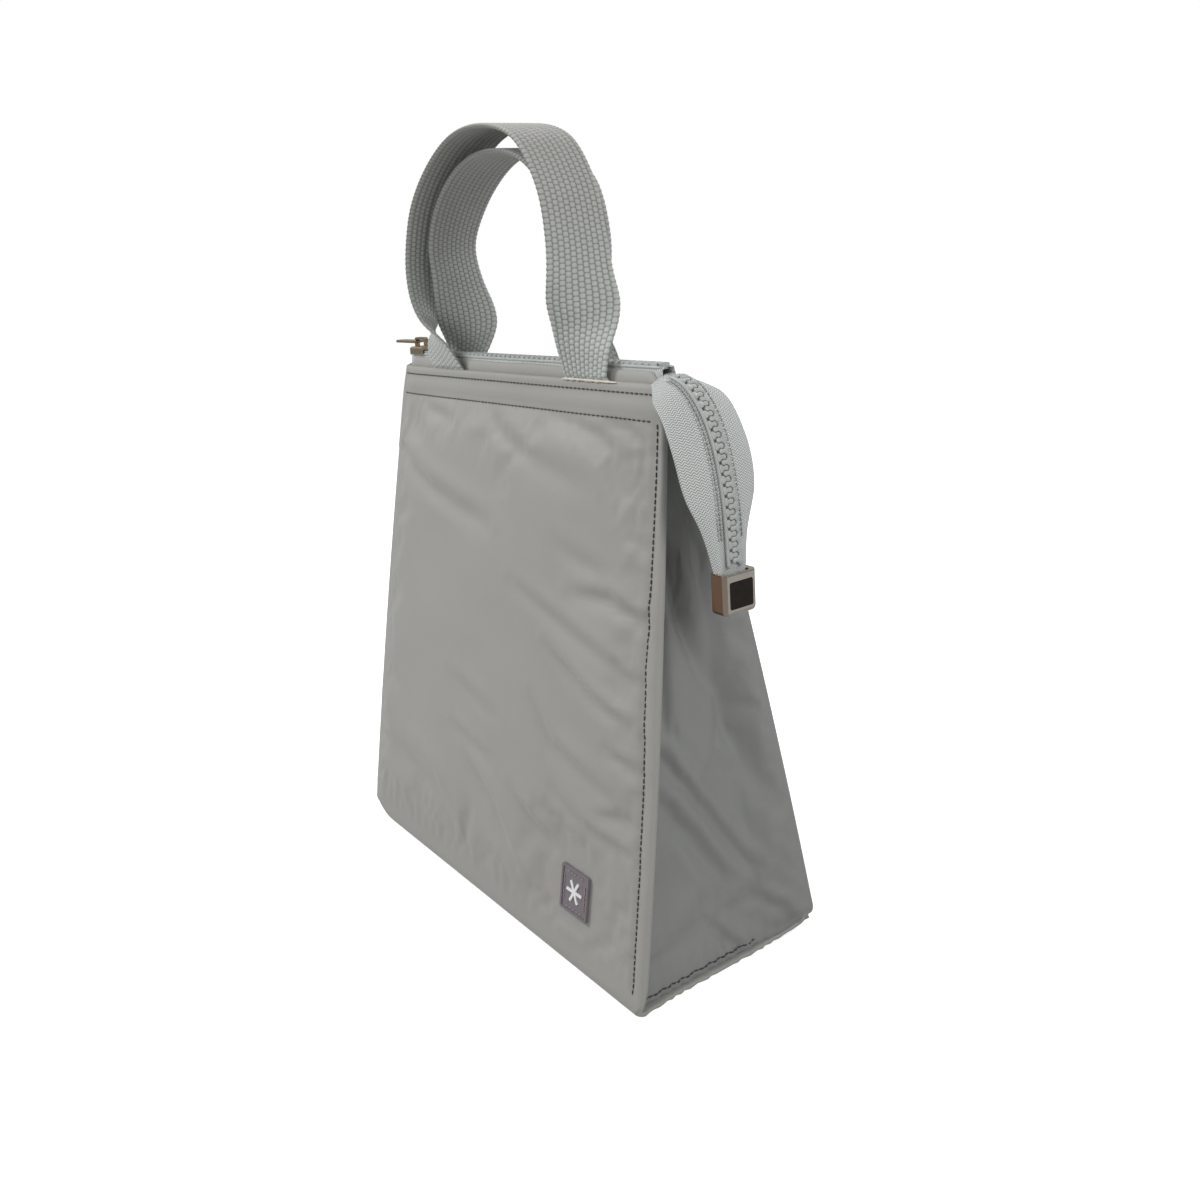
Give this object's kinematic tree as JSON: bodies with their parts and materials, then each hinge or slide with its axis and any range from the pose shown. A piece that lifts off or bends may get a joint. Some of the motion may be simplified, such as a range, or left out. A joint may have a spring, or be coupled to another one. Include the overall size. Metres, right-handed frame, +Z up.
{
  "type": "insulated lunch bag",
  "caption": "Soft tapered insulated lunch bag with a flat base, a zipped top with a hanging zip tail, and webbing loop handles.",
  "frame": {"origin": "centre of the base on the floor, midway between the flanged edges and the two base folds", "axes": "+X along the width towards the zip tail, -Y out of the badged front panel, +Z up"},
  "size_m": [0.2688, 0.102, 0.3605],
  "materials": {
    "shell_nylon": "fine plain-weave coated nylon, warm mid grey with a soft sheen",
    "gusset_nylon": "the same nylon on the side gussets, cooler grey",
    "foam": "closed-cell polyethylene foam",
    "lining_foil": "silver foil-laminated film",
    "webbing": "coarse basket-weave polyester webbing",
    "cream_trim": "cream raw fabric edge",
    "zip_tape": "herringbone woven zip tape, light blue-grey",
    "zip_teeth": "moulded satin teeth",
    "slider_metal": "polished pale gold nickel",
    "cap_metal": "polished gunmetal nickel",
    "badge_rubber": "satin moulded rubber, purple grey",
    "badge_mark": "raised pale moulded mark",
    "badge_thread": "sewing thread",
    "dark_thread": "dark grey sewing thread"
  },
  "bodies": {
    "bag": {"outer_wrap": "shell_nylon", "outer_gusset_left": "gusset_nylon", "outer_gusset_right": "gusset_nylon", "foam_front": "foam", "foam_back": "foam", "foam_base": "foam", "foam_gusset_left": "foam", "foam_gusset_right": "foam", "lining_wrap": "lining_foil", "lining_gusset_left": "lining_foil", "lining_gusset_right": "lining_foil", "strap_ends_front": "webbing", "strap_ends_back": "webbing", "strap_trim": "cream_trim", "placket_front": "shell_nylon", "placket_back": "shell_nylon", "zip_tape_front": "zip_tape", "zip_tape_back": "zip_tape", "zip_teeth_front": "zip_teeth", "zip_teeth_back": "zip_teeth", "zip_end_stop": "zip_teeth", "badge_patch": "badge_rubber", "badge_emblem": "badge_mark", "badge_stitching": "badge_thread", "hem_stitching": "dark_thread", "gusset_stitching": "dark_thread"},
    "slider": {"slider_body": "slider_metal"},
    "puller": {"pull_tab": "slider_metal"},
    "front_handle": {"handle_front": "webbing"},
    "back_handle": {"handle_back": "webbing"},
    "tail": {"tail_tape_front": "zip_tape", "tail_tape_back": "zip_tape", "tail_teeth_front": "zip_teeth", "tail_teeth_back": "zip_teeth", "tail_end_cap": "cap_metal"}
  },
  "joints": [
    {"name": "slider_travel", "type": "slide", "parent": "bag", "child": "slider", "axis": [1, 0, 0], "range_m": [0, 0.19]},
    {"name": "puller_swing", "type": "hinge", "parent": "slider", "child": "puller", "pos_m": [-0.102, 0, 0.2671], "axis": [0, 1, 0], "range_deg": [-40, 100]},
    {"name": "front_handle_swing", "type": "hinge", "parent": "bag", "child": "front_handle", "pos_m": [0, -0.008, 0.257], "axis": [1, 0, 0], "range_deg": [0, 120]},
    {"name": "back_handle_swing", "type": "hinge", "parent": "bag", "child": "back_handle", "pos_m": [0, 0.008, 0.257], "axis": [-1, 0, 0], "range_deg": [0, 120]},
    {"name": "tail_swing", "type": "hinge", "parent": "bag", "child": "tail", "pos_m": [0.1076, 0, 0.2576], "axis": [0, -1, 0], "range_deg": [-8, 100]}
  ]
}
